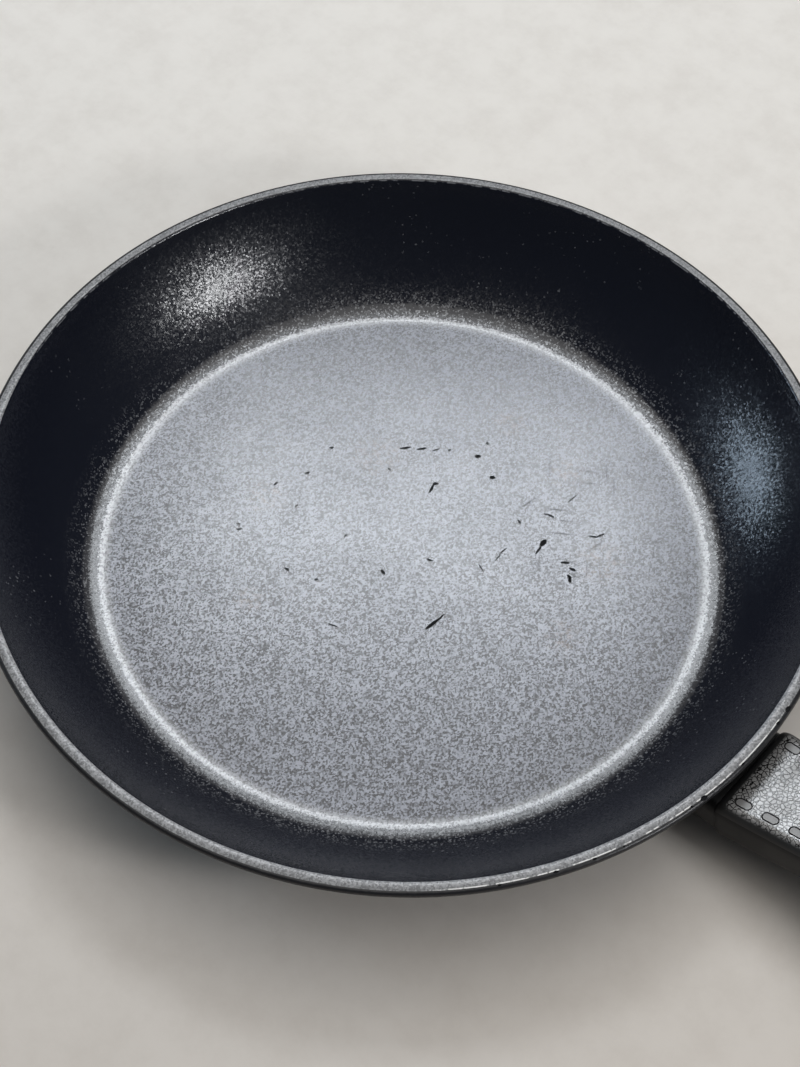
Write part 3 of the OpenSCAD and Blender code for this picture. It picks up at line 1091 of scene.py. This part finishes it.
def gripMaterial():
    material, tree, shader = newMaterial("pebbledMoulding")
    place = objectPlace(tree)
    attribute = tree.nodes.new("ShaderNodeAttribute")
    attribute.attribute_name = "gripTop"
    top = ramp(tree, attribute.outputs["Fac"], 0.80, 0.97)
    pebble = useGroup(tree, pebbleGroup, Place=place, Scale=moulding["pebbleScale"])
    # painted sheen: the pebbles on the grip's top are painted pale grey where they catch the light, the
    # creases between them painted in shade
    topPebbles = times(tree, top, pebble["Height"])
    colour = blendColour(tree, topPebbles, moulding["black"], moulding["pebbleSheen"])
    colour = blendColour(tree, times(tree, top, pebble["Crease"]), colour, moulding["groove"])
    feed(tree, shader.inputs["Base Color"], colour)
    rough = ramp(tree, top, 0, 1, moulding["sideRough"], moulding["topRough"])
    patch = ramp(tree, noise(tree, place, 120, 3.0), 0.3, 0.7, -0.05, 0.05)
    feed(tree, shader.inputs["Roughness"], calc(tree, "ADD", rough, patch))
    skin = useGroup(tree, skinGroup, Place=place)["Normal"]
    feed(tree, shader.inputs["Normal"], bump(tree, topPebbles, 0.22, 0.1 * mm, skin))
    shader.inputs["IOR"].default_value = 1.7
    return material


def pillMaterial():
    material, tree, shader = newMaterial("pillFace")
    place = objectPlace(tree)
    cloud = noise(tree, place, 300, 3.0)
    # painted sheen: the pill faces on the grip's top are painted pale grey where they catch the light
    paint(tree, shader, cloud, moulding["pillSheen"], moulding["pebbleSheen"])
    shader.inputs["Roughness"].default_value = 0.3
    feed(tree, shader.inputs["Normal"], useGroup(tree, skinGroup, Place=place)["Normal"])
    return material


def grooveMaterial():
    material, tree, shader = newMaterial("pillGroove")
    place = objectPlace(tree)
    paint(tree, shader, noise(tree, place, 800), moulding["groove"], moulding["black"])
    shader.inputs["Roughness"].default_value = 0.7
    return material


def smoothMouldingMaterial():
    # for the collar, and for the handle's sides and underside
    material, tree, shader = newMaterial("smoothMoulding")
    place = objectPlace(tree)
    cloud = noise(tree, place, 90, 3.0)
    paint(tree, shader, cloud, moulding["black"], moulding["smooth"])
    feed(tree, shader.inputs["Roughness"], ramp(tree, cloud, 0.3, 0.7, 0.45, 0.55))
    shader.inputs["IOR"].default_value = 1.4
    feed(tree, shader.inputs["Normal"], useGroup(tree, skinGroup, Place=place)["Normal"])
    return material


# the screw, in mm along the handle's own axes
screw = {
    "headSize": 9, "headHeight": 2.4, "headRound": 1.1, "size": 5, "tip": 5.2,
    "seat": -4.55,                 # under the washer
    "pitch": 0.8, "threadDepth": 0.45, "steps": 24, "tipBevel": 0.5,
    "recess": (4.6, 1.0, 1.5),     # length, width and depth of the cross
}

# zinc plate on the screw and the washer, cast aluminium on the bracket
metals = {
    "zinc": (0.62, 0.62, 0.60), "zincDull": (0.42, 0.41, 0.38),
    "cast": (0.66, 0.66, 0.65), "castDull": (0.46, 0.46, 0.45),
}


def zincMaterial():
    material, tree, shader = newMaterial("zincPlate")
    place = objectPlace(tree)
    cloud = noise(tree, place, 600, 3.0)
    paint(tree, shader, cloud, metals["zinc"], metals["zincDull"])
    shader.inputs["Metallic"].default_value = 1.0
    feed(tree, shader.inputs["Roughness"], ramp(tree, cloud, 0.3, 0.7, 0.28, 0.45))
    return material


def bracketMaterial():
    material, tree, shader = newMaterial("castAluminium")
    place = objectPlace(tree)
    cloud = noise(tree, place, 250, 4.0, 0.65)
    paint(tree, shader, cloud, metals["cast"], metals["castDull"])
    shader.inputs["Metallic"].default_value = 1.0
    feed(tree, shader.inputs["Roughness"], ramp(tree, cloud, 0.3, 0.7, 0.38, 0.55))
    feed(tree, shader.inputs["Normal"], bump(tree, cloud, 0.2, 0.1 * mm))
    return material


def buildScrew():
    lowZ = (screw["seat"] - screw["headHeight"]) * mm
    middleZ = (screw["seat"] - screw["headHeight"] / 2) * mm
    bpy.ops.mesh.primitive_cylinder_add(vertices=48, radius=screw["headSize"] / 2 * mm,
                                        depth=screw["headHeight"] * mm,
                                        location=(grip["screwAt"] * mm, 0, middleZ))
    head = bpy.context.object
    setMaterials(head, zincPlate)
    placeInMesh(head)
    editMode(head, "EDGE")
    selectWhere(head, "edges", lambda e: all(v.co.z < lowZ + 0.01 * mm for v in e.verts))
    bpy.ops.mesh.bevel(offset=screw["headRound"] * mm, segments=5)
    bpy.ops.object.mode_set(mode="OBJECT")
    length, width, depth = screw["recess"]
    for turn in (45, 135):
        bpy.ops.mesh.primitive_cube_add(size=1 * mm, location=(0, 0, 0))
        slotTool = bpy.context.object
        slotTool.scale = (length, width, depth * 2)
        slotTool.rotation_euler = (0, 0, math.radians(turn))
        slotTool.location = (grip["screwAt"] * mm, 0, lowZ)
        placeInMesh(slotTool)
        cutAway(head, slotTool)

    # the shank: a disc fuller on one side, extruded and turned a little at each step
    steps = screw["steps"]
    turnStep = 2 * math.pi / steps
    rise = screw["pitch"] / steps * 2
    bpy.ops.mesh.primitive_circle_add(vertices=steps, radius=screw["size"] / 2 * mm, fill_type="NGON",
                                      location=(grip["screwAt"] * mm, 0, screw["seat"] * mm))
    shank = bpy.context.object
    placeInMesh(shank)
    centre = Vector((grip["screwAt"] * mm, 0, screw["seat"] * mm))
    for vertex in shank.data.vertices:
        angle = math.atan2(vertex.co.y - centre.y, vertex.co.x - centre.x)
        keep = 1 - screw["threadDepth"] / (screw["size"] / 2) * (1 - abs(angle) / math.pi)
        vertex.co = centre + (vertex.co - centre) * keep
    editMode(shank)
    bpy.ops.mesh.select_all(action="SELECT")
    for _ in range(int((screw["tip"] - screw["seat"]) / rise)):
        bpy.ops.mesh.extrude_region_move(TRANSFORM_OT_translate={"value": (0, 0, rise * mm)})
        bpy.ops.transform.rotate(value=turnStep * 2, orient_axis="Z", center_override=centre)
    bpy.ops.mesh.inset(thickness=screw["tipBevel"] * mm)
    bpy.ops.transform.translate(value=(0, 0, screw["tipBevel"] * mm))
    closeUp(shank)
    setMaterials(shank, zincPlate)
    closeUp(head)
    body = joinAll([head, shank], "screw")
    body.matrix_world = onHandle()
    placeInMesh(body)
    finishPiece(body, "screw", "fixing_screw")


def paintKept():
    for node, material in (("spring_washer", zincPlate), ("handle_bracket", bracketMaterial())):
        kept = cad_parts[node]
        for slotSpace in kept.material_slots:
            slotSpace.material = material


grainGroup = makeGrainGroup()
hairGroup = makeHairGroup()
turnedGroup = makeTurnedGroup()
pebbleGroup = makePebbleGroup()
skinGroup = makeSkinGroup()
smoothMoulding = smoothMouldingMaterial()
zincPlate = zincMaterial()

addCamera()
addLights()
addWorld()
addFloor()
bpy.context.scene.view_settings.view_transform = "Standard"
print("stage, lights and camera are in")

buildPan()
print("pan is turned, gouged and chipped")
buildCollar()
print("collar is fitted to the pan")
buildHandle()
print("handle is shaped, drilled and grooved")
buildScrew()
paintKept()
print("screw is made, washer and bracket are finished")
